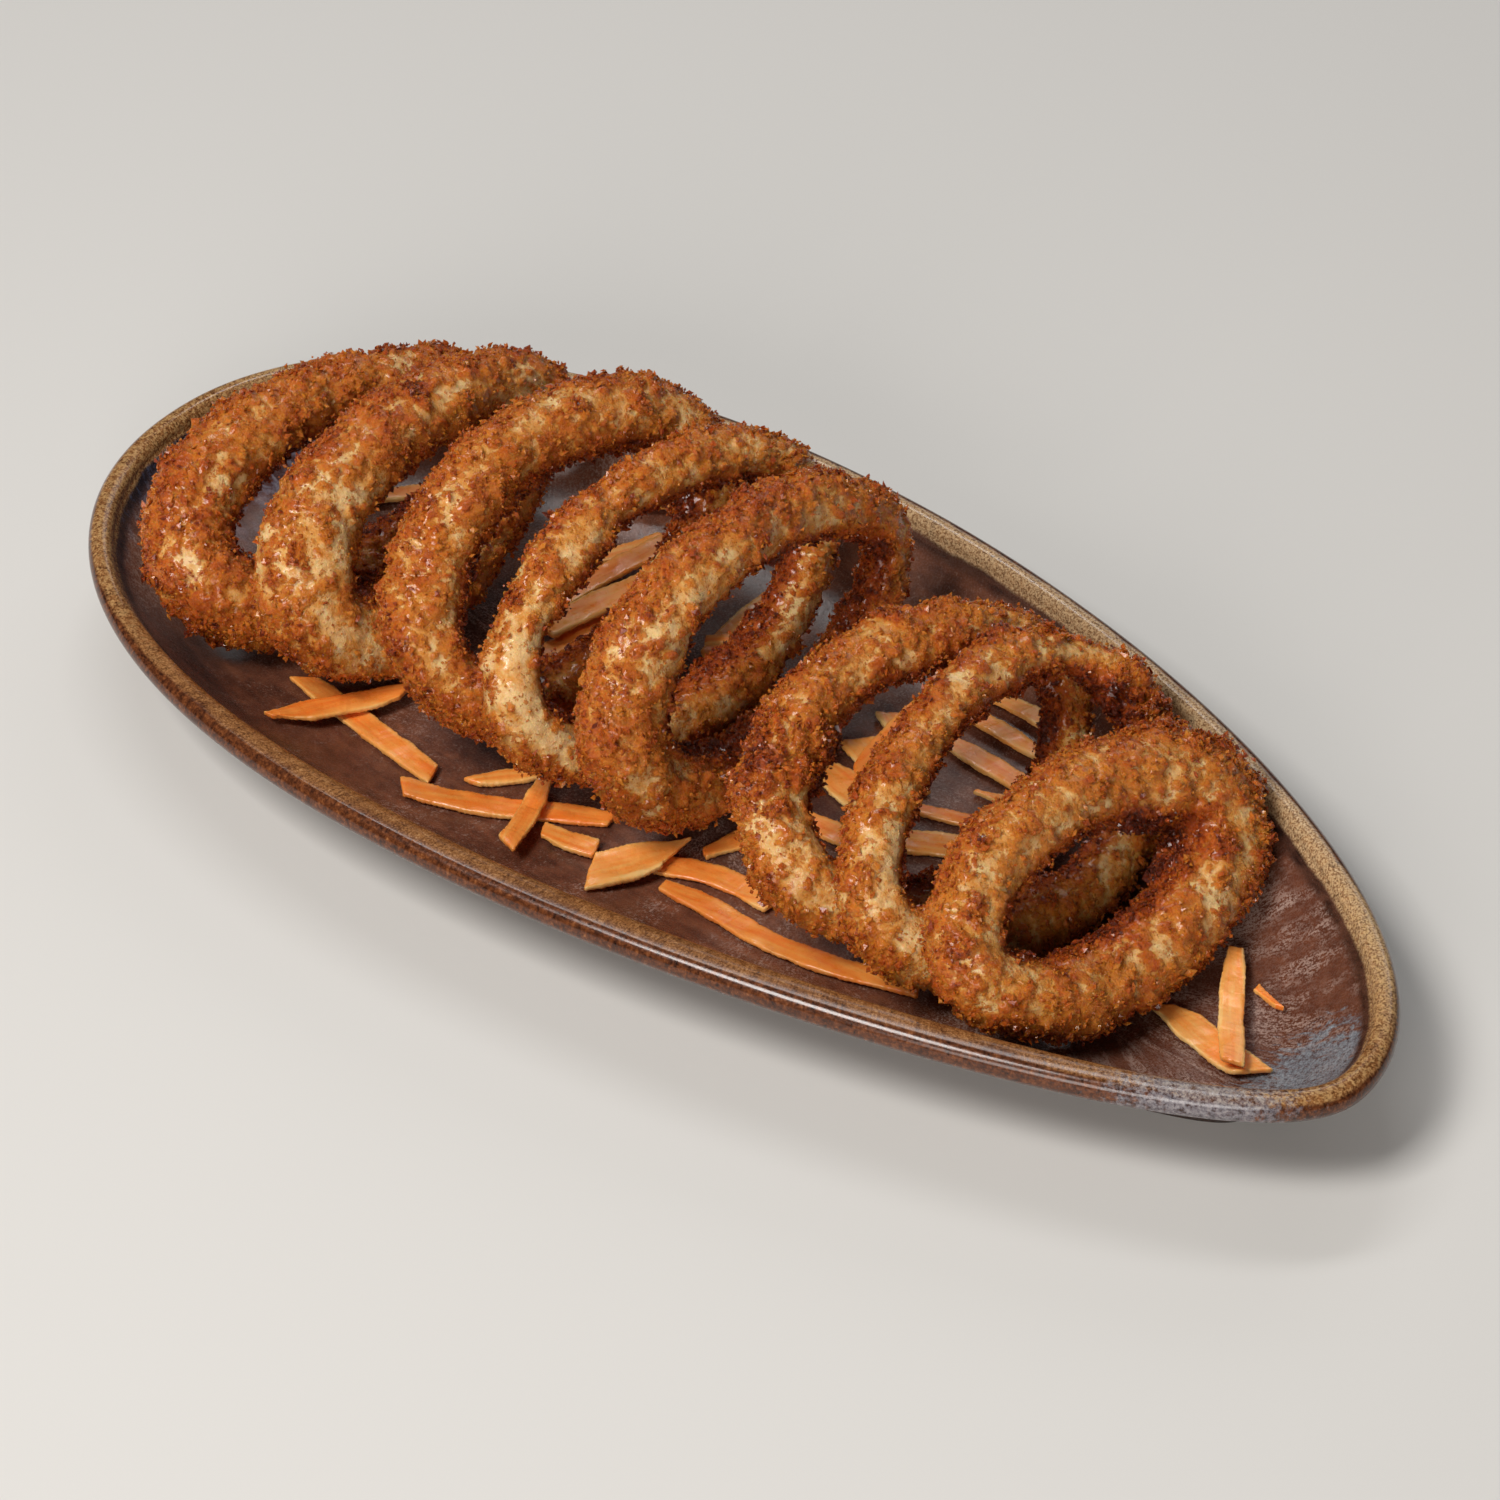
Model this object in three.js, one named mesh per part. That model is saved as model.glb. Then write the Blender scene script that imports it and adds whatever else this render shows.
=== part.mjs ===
// Crumbed squid rings leaning one on the next along a drop-shaped stoneware plate, on strips of cut carrot.
// Millimetres, +Z up, +X along the plate towards its narrow end. The origin is under the middle of the foot.
import * as THREE from 'three';

// ---- driving dimensions ----
const PLATE_LENGTH = 300;
const PLATE_AXIS_Y = -3; // the two sides of the outline meet on this line
// each side's half width, how much it narrows towards +X, and its squareness: 2 is an ellipse
const BACK_SIDE = { halfWidth: 74.8, taper: -0.12, squareness: 2 };
const FRONT_SIDE = { halfWidth: 65.5, taper: -0.34, squareness: 2.08 };
const PLATE_SEGMENTS = 80;
const FLOOR_Z = 4.6;
const FLOOR_EDGE_Z = 4.7;
const LIP_RADIUS = 2.6;
const LIP_TOP_Z = 23.8;
const FOOT_RECESS_Z = 1.5;
const HALVINGS = 20; // of the search for a point's place on the inside wall

const RING_STEPS = 32;
const TUBE_SIDES = 10;
const CRUST_LUMP = 0.03; // lump height as a part of the tube's radius

const TANGENT_STEP = 0.01;

const STRIP_THICKNESS = 1.9;
const STRIP_GAP = 0.3; // between a strip and what it lies on

// ---- materials ----
const glaze = new THREE.MeshStandardMaterial({ color: 0x6b5148, roughness: 0.35, metalness: 0 });
const crumb = new THREE.MeshStandardMaterial({ color: 0xd9913f, roughness: 0.7, metalness: 0 });
const carrot = new THREE.MeshStandardMaterial({ color: 0xf0952e, roughness: 0.5, metalness: 0 });

const model = new THREE.Group();

/** A closed body from a grid of points: it closes round in u, and in v it closes round or ends in fans. */
function closedBody(grid, vCloses) {
  const uCount = grid.length;
  const vCount = grid[0].length;
  const positions = grid.flat().flatMap((p) => p.toArray());
  const at = (i, j) => (i % uCount) * vCount + (j % vCount);
  const index = [];
  const quad = (a, b, c, d) => index.push(a, b, c, a, c, d);
  for (let i = 0; i < uCount; i++) {
    for (let j = 0; j < (vCloses ? vCount : vCount - 1); j++) {
      quad(at(i, j), at(i + 1, j), at(i + 1, j + 1), at(i, j + 1));
    }
  }
  if (!vCloses) {
    for (const [j, flip] of [[0, true], [vCount - 1, false]]) {
      const hub = new THREE.Vector3();
      grid.forEach((row) => hub.addScaledVector(row[j], 1 / uCount));
      const hubIndex = positions.length / 3;
      positions.push(...hub.toArray());
      for (let i = 0; i < uCount; i++) {
        index.push(hubIndex, flip ? at(i + 1, j) : at(i, j), flip ? at(i, j) : at(i + 1, j));
      }
    }
  }
  const geometry = new THREE.BufferGeometry();
  geometry.setAttribute('position', new THREE.Float32BufferAttribute(positions, 3));
  geometry.setIndex(index);
  geometry.computeVertexNormals();
  return geometry;
}

function addMesh(name, geometry, material) {
  const mesh = new THREE.Mesh(geometry, material);
  mesh.name = name;
  model.add(mesh);
  return mesh;
}

// ---- the plate: one closed section carried round an egg-shaped outline ----

const halfWidthAt = (side, along, inset) => side.halfWidth * (1 + side.taper * along) - inset;

/** A point of the outline moved in by inset, at angle t round the plate. */
function outline(inset, t) {
  const side = Math.sin(t) > 0 ? BACK_SIDE : FRONT_SIDE;
  const power = 2 / side.squareness;
  const x = Math.sign(Math.cos(t)) * Math.abs(Math.cos(t)) ** power;
  const y = Math.sign(Math.sin(t)) * Math.abs(Math.sin(t)) ** power;
  return [(PLATE_LENGTH / 2 - inset) * x, PLATE_AXIS_Y + halfWidthAt(side, x, inset) * y];
}

// each entry: inset from the outer edge, height; from the floor up the inside wall
const INSIDE = [[38, FLOOR_EDGE_Z], [28, 5.3], [19, 8.2], [13, 13], [8, 17.8]];
// from under the lip down the outside wall, round the foot and into its recess
const OUTSIDE = [
  [3.6, 17.2], [9, 12.6], [15, 7.6], [20, 3.9], [23, 1.9],
  [23.6, 0], [30, 0], [31, FOOT_RECESS_Z],
];
const LIP_CENTRE_Z = LIP_TOP_Z - LIP_RADIUS;
const LIP_ANGLES = [180, 135, 90, 45, 0, -40];

function plateSection() {
  const lip = LIP_ANGLES.map((degrees) => {
    const angle = THREE.MathUtils.degToRad(degrees);
    return [LIP_RADIUS * (1 - Math.cos(angle)), LIP_CENTRE_Z + LIP_RADIUS * Math.sin(angle)];
  });
  return [...INSIDE, ...lip, ...OUTSIDE];
}

function plateGeometry() {
  const section = plateSection();
  const grid = [];
  for (let i = 0; i < PLATE_SEGMENTS; i++) {
    const t = (2 * Math.PI * i) / PLATE_SEGMENTS;
    const [floorX, floorY] = outline(INSIDE[0][0], t);
    const halfWayOut = new THREE.Vector3(floorX / 2, (floorY + PLATE_AXIS_Y) / 2, FLOOR_Z);
    const row = [halfWayOut];
    for (const [inset, z] of section) {
      const [x, y] = outline(inset, t);
      row.push(new THREE.Vector3(x, y, z));
    }
    grid.push(row.reverse());
  }
  return closedBody(grid, false);
}
addMesh('plate', plateGeometry(), glaze);

/** Height of the plate's inside surface under a point. */
function floorHeight(x, y) {
  const side = y > PLATE_AXIS_Y ? BACK_SIDE : FRONT_SIDE;
  const isWithin = (inset) => {
    const along = x / (PLATE_LENGTH / 2 - inset);
    const across = (y - PLATE_AXIS_Y) / halfWidthAt(side, along, inset);
    return Math.abs(along) ** side.squareness + Math.abs(across) ** side.squareness < 1;
  };
  const next = INSIDE.findIndex(([inset]) => isWithin(inset));
  if (next === 0) return FLOOR_EDGE_Z;
  const [outerInset, outerZ] = INSIDE[next];
  const [innerInset, innerZ] = INSIDE[next - 1];
  let low = outerInset;
  let high = innerInset;
  for (let step = 0; step < HALVINGS; step++) {
    const middle = (low + high) / 2;
    if (isWithin(middle)) low = middle;
    else high = middle;
  }
  return THREE.MathUtils.mapLinear(low, innerInset, outerInset, innerZ, outerZ);
}

// ---- the rings: an oval tube with an uneven crumb crust, leaning back towards -X ----
// across and up are the half sizes of the tube's middle line, tube is its radius, lean is from level, spin
// turns the oval in its own plane, egg narrows one end, fatX and fatY thicken one side
const RINGS = [
  {
    at: [-102.5, -2.5, 25.5], yaw: -1.6, lean: 46.4, spin: 1,
    across: 39.7, up: 17.3, tube: 7.5, egg: -0.19, fatX: -0.26, fatY: 0.08,
  },
  {
    at: [-81.2, -0.6, 31.8], yaw: 2.4, lean: 65, spin: 9.8,
    across: 36.2, up: 15.2, tube: 8.4, egg: -0.3, fatX: -0.22, fatY: 0,
  },
  {
    at: [-46.9, 4.2, 32], yaw: -4.4, lean: 54.5, spin: 9.2,
    across: 37.6, up: 23, tube: 7.9, egg: -0.02, fatX: 0, fatY: 0.05,
  },
  {
    at: [-24.5, 7.3, 30.6], yaw: -3.4, lean: 58, spin: 7.5,
    across: 40.2, up: 21.8, tube: 6, egg: -0.01, fatX: -0.07, fatY: -0.04,
  },
  {
    at: [-0.1, 7.3, 34.6], yaw: 1.5, lean: 76.8, spin: 2.3,
    across: 38.3, up: 21.9, tube: 7.3, egg: -0.11, fatX: -0.18, fatY: 0,
  },
  {
    at: [41.8, 7.3, 26.8], yaw: -2.3, lean: 43.5, spin: 2.2,
    across: 36.9, up: 22.7, tube: 6.3, egg: -0.1, fatX: -0.13, fatY: 0.12,
  },
  {
    at: [60, 8.8, 26.9], yaw: 2, lean: 44.5, spin: 3.9,
    across: 38.6, up: 21.1, tube: 6.1, egg: 0.18, fatX: -0.2, fatY: -0.09,
  },
  {
    at: [84.8, 3.6, 26], yaw: -3, lean: 47.8, spin: -1.3,
    across: 32, up: 16.1, tube: 8.2, egg: -0.06, fatX: 0.16, fatY: -0.03,
  },
];

function ringGeometry(ring, number) {
  const middle = (t) => new THREE.Vector3(
    ring.across * Math.cos(t),
    ring.up * Math.sin(t) * (1 + ring.egg * Math.cos(t)),
    0,
  );
  const grid = [];
  for (let i = 0; i < RING_STEPS; i++) {
    const t = (2 * Math.PI * i) / RING_STEPS;
    const along = middle(t + TANGENT_STEP).sub(middle(t - TANGENT_STEP)).normalize();
    const outward = new THREE.Vector3(along.y, -along.x, 0);
    const fat = 1 + ring.fatX * Math.cos(t) + ring.fatY * Math.sin(t);
    const row = [];
    for (let j = 0; j < TUBE_SIDES; j++) {
      const s = (2 * Math.PI * j) / TUBE_SIDES;
      const lump = Math.sin(3 * t + 2 * s + number) + Math.sin(5 * t - s + 2.3 * number) * 0.6;
      const radius = ring.tube * fat * (1 + CRUST_LUMP * lump);
      row.push(middle(t)
        .addScaledVector(outward, radius * Math.cos(s))
        .add(new THREE.Vector3(0, 0, radius * Math.sin(s))));
    }
    grid.push(row);
  }
  return closedBody(grid, true);
}

RINGS.forEach((ring, k) => {
  const mesh = addMesh(`squid_ring_${k + 1}`, ringGeometry(ring, k), crumb);
  const yaw = THREE.MathUtils.degToRad(ring.yaw);
  const lean = THREE.MathUtils.degToRad(ring.lean);
  const across = new THREE.Vector3(-Math.sin(yaw), Math.cos(yaw), 0);
  const upSlope = new THREE.Vector3(
    -Math.cos(lean) * Math.cos(yaw),
    -Math.cos(lean) * Math.sin(yaw),
    Math.sin(lean),
  );
  const facing = new THREE.Vector3().crossVectors(across, upSlope);
  mesh.quaternion.setFromRotationMatrix(new THREE.Matrix4().makeBasis(across, upSlope, facing));
  mesh.rotateZ(THREE.MathUtils.degToRad(ring.spin));
  mesh.position.set(...ring.at);
});

// ---- the carrot strips: flat bars that follow the plate, some lifted over others ----
// each path point: x, y, lift above the plate
const STRIPS = [
  // along the -Y side, from the wide end
  { width: 5.6, path: [[-76, -50, 0.2], [-70, -41, 2.3], [-66, -33.5, 2.3], [-62.5, -26.5, 2.3]] },
  { width: 5.4, path: [[-82, -35.5, 0], [-71, -36.5, 0], [-58, -37.5, 0], [-42, -39, 0]] },
  { width: 5.2, path: [[-43, -46, 0], [-36, -42.5, 0], [-27, -38, 0], [-17, -30.5, 0], [-8, -25, 0]] },
  { width: 4.6, path: [[-35.5, -35.5, 0], [-31.5, -29.5, 0], [-27.5, -24.5, 0]] },
  { width: 4.4, path: [[-15, -46.5, 1.5], [-17, -40.5, 2.4], [-21, -32.5, 2.4], [-24.5, -25.5, 2.4]] },
  { width: 5, path: [[-15.5, -36.1, 0], [-10, -35.5, 0], [-4, -33.3, 0]] },
  { width: 9, path: [[0.5, -40.2, 0.3], [4.5, -33.2, 1.6], [9.3, -25, 2.6]] },
  { width: 5.6, path: [[7, -28.9, 0], [15, -24.5, 0], [23, -22.5, 0], [31, -23, 0]] },
  { width: 5.4, path: [[11.5, -20.5, 0], [13, -15.5, 0], [15, -9.5, 0]] },
  {
    width: 5,
    path: [[12, -32, 0], [24, -31, 0], [36, -31.5, 0], [46, -30, 0], [55, -27, 0], [66, -21.5, 0]],
  },
  // at the narrow end
  { width: 7, path: [[100.6, 4.5, 0], [107, 3.8, 0], [115, 2.3, 0], [125, 0, 0]] },
  { width: 4.6, path: [[104, 22, 1.4], [108, 16, 2.2], [114, 7.5, 2.8], [122, -2.5, 3.4]] },
  { width: 3.6, path: [[112, 17.5, 0], [119, 15, 0]] },
  // seen through the seventh ring
  { width: 4, path: [[18, 48, 0], [30, 48.5, 0], [42, 47, 0]] },
  { width: 4.4, path: [[16, 43, 0], [30, 42.8, 0], [44, 41.3, 0]] },
  { width: 5, path: [[22, 35, 0], [34, 35, 0], [48, 34.5, 0]] },
  { width: 3.4, path: [[37.5, 27.5, 0], [45, 29, 0]] },
  { width: 3.4, path: [[32, 16, 0], [40, 19, 0], [50, 23.5, 0]] },
  { width: 6.6, path: [[35.5, 6.5, 0], [42.5, 11.3, 0], [52.5, 16.5, 0]] },
  // the small heap in the lee of the fifth ring
  { width: 7, path: [[10.5, 34, 0], [15, 32.2, 0], [20.5, 30, 0]] },
  { width: 7.5, path: [[10.5, 24, 0], [18, 21.5, 0], [29, 19, 0]] },
  { width: 8, path: [[10.5, 13.5, 0], [19, 12.2, 0], [30, 9.5, 0]] },
  { width: 4.6, path: [[15.5, 37, 2.4], [16.8, 25, 2.4], [19.5, 14, 2.4]] },
  { width: 5, path: [[17, -1.5, 0.2], [27, 0.5, 0.2], [37, 1.5, 0.2]] },
  // between the second, third and fourth rings
  { width: 5.4, path: [[-61.8, 19, 0.2], [-60, 28, 1.6], [-57.2, 38, 2.7], [-55.5, 46, 2.7]] },
  { width: 6.4, path: [[-55.8, 5, 2.4], [-54.5, 14, 2.5], [-52.5, 24.5, 2.5], [-50.5, 33, 2.4]] },
  { width: 4.8, path: [[-53, -3, 0], [-52, 7, 0], [-51, 15, 0], [-49.5, 23, 0]] },
  { width: 4, path: [[-74, 45, 0], [-62, 50.5, 0]] },
  { width: 4.4, path: [[-69, 27, 0], [-64, 35.5, 0], [-59.5, 44, 0]] },
  { width: 4.6, path: [[-28.5, 22.5, 0], [-30, 33.5, 0], [-32, 45.5, 0]] },
  { width: 3.8, path: [[-30, 24.5, 2.3], [-25, 29.5, 2.3]] },
  // under the first ring
  { width: 4.2, path: [[-117, 11.5, 0], [-110, 19.5, 0], [-103, 27.5, 0]] },
];
const STRIP_STEP = 7; // length of one straight stretch

function stripGeometry({ width, path }) {
  const curve = new THREE.CatmullRomCurve3(path.map((p) => new THREE.Vector3(...p)), false, 'centripetal');
  const steps = Math.max(2, Math.round(curve.getLength() / STRIP_STEP));
  const corners = [[-1, 0], [1, 0], [1, 1], [-1, 1]];
  const rows = [];
  for (let i = 0; i <= steps; i++) {
    const point = curve.getPointAt(i / steps);
    const along = curve.getTangentAt(i / steps).setZ(0).normalize();
    const aside = new THREE.Vector3(-along.y, along.x, 0);
    const edges = [-1, 1].map((side) => {
      const edge = point.clone().addScaledVector(aside, (side * width) / 2);
      return floorHeight(edge.x, edge.y);
    });
    const bed = Math.max(...edges, floorHeight(point.x, point.y)) + STRIP_GAP + point.z;
    rows.push(corners.map(([side, top]) => new THREE.Vector3(point.x, point.y, bed + top * STRIP_THICKNESS)
      .addScaledVector(aside, (side * width) / 2)));
  }
  const grid = corners.map((corner, k) => rows.map((row) => row[k]));
  return closedBody(grid, false);
}

STRIPS.forEach((strip, k) => {
  addMesh(`carrot_strip_${String(k + 1).padStart(2, '0')}`, stripGeometry(strip), carrot);
});

export default model;
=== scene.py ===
"""Crumbed squid rings, leaning in a row over cut carrot on a long stoneware plate.

Metres, +Z up, +X along the plate towards its narrow end. Sizes named ..._MM are in millimetres.
"""
import math

import bpy
import numpy as np
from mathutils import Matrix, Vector


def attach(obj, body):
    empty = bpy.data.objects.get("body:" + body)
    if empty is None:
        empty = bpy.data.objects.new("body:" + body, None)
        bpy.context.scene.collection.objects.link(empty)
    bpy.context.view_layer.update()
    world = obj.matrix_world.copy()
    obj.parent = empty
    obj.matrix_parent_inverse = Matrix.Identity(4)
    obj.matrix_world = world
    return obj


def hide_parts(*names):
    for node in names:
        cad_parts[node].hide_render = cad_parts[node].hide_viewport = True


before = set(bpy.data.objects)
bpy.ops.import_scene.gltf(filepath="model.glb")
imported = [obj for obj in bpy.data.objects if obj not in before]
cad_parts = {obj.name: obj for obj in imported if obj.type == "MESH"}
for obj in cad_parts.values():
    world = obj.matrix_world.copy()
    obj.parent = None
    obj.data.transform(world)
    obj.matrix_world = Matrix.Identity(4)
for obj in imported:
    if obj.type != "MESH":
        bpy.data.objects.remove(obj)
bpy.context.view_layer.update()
MM = 0.001

# ---- The table, the lamps and where the cook stands ----
# A plain pale table top under soft studio light: a key lamp high over the near side, a long narrow one
# behind the plate for the shine on its lip, and two broad weak fills, one in front and one behind.
VIEW_TURN = math.radians(42.3)  # 0 looks along +Y
VIEW_TILT = math.radians(40)
VIEW_DISTANCE = 0.8764
VIEW_AIM = Vector((-0.0070, 0.0126, 0))
LENS_MM = 108


def facing(turn, tilt):
    """The direction of a look turned from +Y towards -X, and tilted down."""
    level = math.cos(tilt)
    return Vector((-math.sin(turn) * level, math.cos(turn) * level, -math.sin(tilt)))


def add_camera():
    camera = bpy.data.objects.new("view", bpy.data.cameras.new("view"))
    camera.data.lens = LENS_MM
    camera.data.clip_start = 0.05
    look = facing(VIEW_TURN, VIEW_TILT)
    camera.location = VIEW_AIM - look * VIEW_DISTANCE
    camera.rotation_euler = look.to_track_quat("-Z", "Y").to_euler()
    bpy.context.scene.collection.objects.link(camera)
    bpy.context.scene.camera = camera


def add_lamp(name, turn, tilt, distance, size, power, colour=(1, 1, 1)):
    """A rectangular soft lamp aimed at the plate's middle, turn and tilt in degrees as for a look."""
    lamp = bpy.data.objects.new(name, bpy.data.lights.new(name, "AREA"))
    lamp.data.shape = "RECTANGLE"
    lamp.data.size, lamp.data.size_y = size
    lamp.data.energy = power
    lamp.data.color = colour
    look = facing(math.radians(turn), math.radians(tilt))
    lamp.location = -look * distance
    lamp.rotation_euler = look.to_track_quat("-Z", "Y").to_euler()
    bpy.context.scene.collection.objects.link(lamp)


def add_table():
    half = 6.0
    mesh = bpy.data.meshes.new("table_top")
    corners = [(-half, -half, 0), (half, -half, 0), (half, half, 0), (-half, half, 0)]
    mesh.from_pydata(corners, [], [(0, 1, 2, 3)])
    table = bpy.data.objects.new("table_top", mesh)
    bpy.context.scene.collection.objects.link(table)
    paint = bpy.data.materials.new("pale_table")
    paint.use_nodes = True
    shader = paint.node_tree.nodes["Principled BSDF"]
    shader.inputs["Base Color"].default_value = (0.72, 0.71, 0.69, 1)
    shader.inputs["Roughness"].default_value = 0.6
    mesh.materials.append(paint)


def add_world():
    world = bpy.data.worlds.new("studio")
    world.use_nodes = True
    backdrop = world.node_tree.nodes["Background"]
    backdrop.inputs["Color"].default_value = (1.0, 0.98, 0.95, 1)
    backdrop.inputs["Strength"].default_value = 0.05
    bpy.context.scene.world = world
    bpy.context.scene.view_settings.view_transform = "Standard"


add_camera()
add_table()
add_world()
add_lamp("key_lamp", 350, 56, 1.5, (0.5, 0.5), 15.5, (1, 0.97, 0.93))
add_lamp("back_lamp", 236, 60, 1.6, (1.0, 0.2), 4.6)
add_lamp("front_fill", 28, 24, 1.8, (1.2, 0.6), 15, (1, 0.95, 0.9))
add_lamp("back_fill", 200, 32, 2.0, (1.2, 0.6), 3)

# ---- The plate ----
# Thrown stoneware under a reactive glaze, pressed into a drop shape with a rolled lip and a foot ring.
# The glaze breaks to rust and cream on the lip, and pools grey-blue and mauve inside.
PLATE_HALF_LENGTH_MM = 150
PLATE_AXIS_Y_MM = -3
BACK_SIDE = (74.8, -0.12, 2.0)  # half width, how much it narrows towards +X, squareness
FRONT_SIDE = (65.5, -0.34, 2.08)
FLOOR_MM = 4.6
LIP_RADIUS_MM = 2.6
LIP_TOP_MM = 23.8
# inset from the edge, height: the inside from the floor up, then the outside from under the lip
INSIDE_MM = [(38, 4.7), (28, 5.3), (19, 8.2), (13, 13), (8, 17.8)]
OUTSIDE_MM = [(3.6, 17.2), (9, 12.6), (15, 7.6), (20, 3.9), (23, 1.9)]
FOOT_MM = [(23.6, 0), (30, 0), (31, 1.5)]
PLATE_STEPS = 480
FLOOR_ROWS = 22
FRONT_LIP_EXTRA_MM = 2.4
FRONT_LIP_INSETS_MM = (8, 18)  # the extra starts to die away at the first, and is gone at the second
LIP_SWAY_MM = 0.18  # how far the lip rises and falls as it runs round
FLOOR_RUN_MM = 60  # how much further from the lip the floor's middle counts than its edge does
NARROW_POOL = (0.135, 0.002)
GREY_PATCH = (0.131, -0.025)


def lattice_random(cells, seed):
    """A repeatable number in 0..1 for each whole-numbered cell of space."""
    mixed = cells[..., 0] * 73856093 ^ cells[..., 1] * 19349663 ^ cells[..., 2] * 83492791
    mixed = mixed ^ seed * 2654435761
    mixed = (mixed ^ (mixed >> 15)) * 2246822519 & 0xFFFFFFFF
    mixed = (mixed ^ (mixed >> 13)) * 3266489917 & 0xFFFFFFFF
    return ((mixed ^ (mixed >> 16)) & 0xFFFFFF) / float(1 << 24)


def swell(points, size, seed):
    """A smooth uneven height in -1..1 at each point, with hills about size across."""
    place = points / size
    base = np.floor(place).astype(np.int64)
    part = place - base
    part = part * part * (3 - 2 * part)
    height = np.zeros(len(points))
    for corner in np.ndindex(2, 2, 2):
        weight = np.prod(np.where(corner, part, 1 - part), axis=1)
        height += weight * lattice_random(base + np.array(corner), seed)
    return height * 2 - 1


def smooth_step(value, low, high):
    part = np.clip((value - low) / (high - low), 0, 1)
    return part * part * (3 - 2 * part)


def make_object(name, points, faces, smooth=True):
    mesh = bpy.data.meshes.new(name)
    mesh.from_pydata(points.tolist(), [], faces)
    if smooth:
        mesh.shade_smooth()
    made = bpy.data.objects.new(name, mesh)
    bpy.context.scene.collection.objects.link(made)
    return made


def set_field(mesh, name, values):
    """Stores one number per vertex, which the material reads by name."""
    field = mesh.attributes.new(name, "FLOAT", "POINT")
    field.data.foreach_set("value", np.asarray(values, np.float32))


def plate_edge(inset, turn):
    """Points of the drop-shaped outline moved in by inset, at angles turn round the plate."""
    back = np.sin(turn) > 0
    half_width, taper, squareness = [np.where(back, b, f) for b, f in zip(BACK_SIDE, FRONT_SIDE)]
    power = 2 / squareness
    along = np.sign(np.cos(turn)) * np.abs(np.cos(turn)) ** power
    aside = np.sign(np.sin(turn)) * np.abs(np.sin(turn)) ** power
    width = half_width * (1 + taper * along) - inset
    return (PLATE_HALF_LENGTH_MM - inset) * along, PLATE_AXIS_Y_MM + width * aside


def through(points, steps):
    """A smooth curve through the points, steps pieces between each two."""
    p = np.array([points[0]] + list(points) + [points[-1]], float)
    curve = []
    for i in range(1, len(p) - 2):
        for t in np.arange(steps) / steps:
            curve.append(0.5 * (2 * p[i] + (p[i + 1] - p[i - 1]) * t
                                + (2 * p[i - 1] - 5 * p[i] + 4 * p[i + 1] - p[i + 2]) * t ** 2
                                + (3 * p[i] - p[i - 1] - 3 * p[i + 1] + p[i + 2]) * t ** 3))
    return curve + [p[-1]]


def plate_section():
    """The section as (inset, height), from the floor's edge over the lip to the foot's recess."""
    centre = LIP_TOP_MM - LIP_RADIUS_MM
    angles = np.radians(np.linspace(180, -40, 23))
    lip = [(LIP_RADIUS_MM * (1 - math.cos(a)), centre + LIP_RADIUS_MM * math.sin(a)) for a in angles]
    inner = through(INSIDE_MM + lip[:1], 6)[:-1]
    outer = through(lip[-1:] + OUTSIDE_MM, 5)[1:]
    return np.array(inner + lip + outer + FOOT_MM, float)


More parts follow.
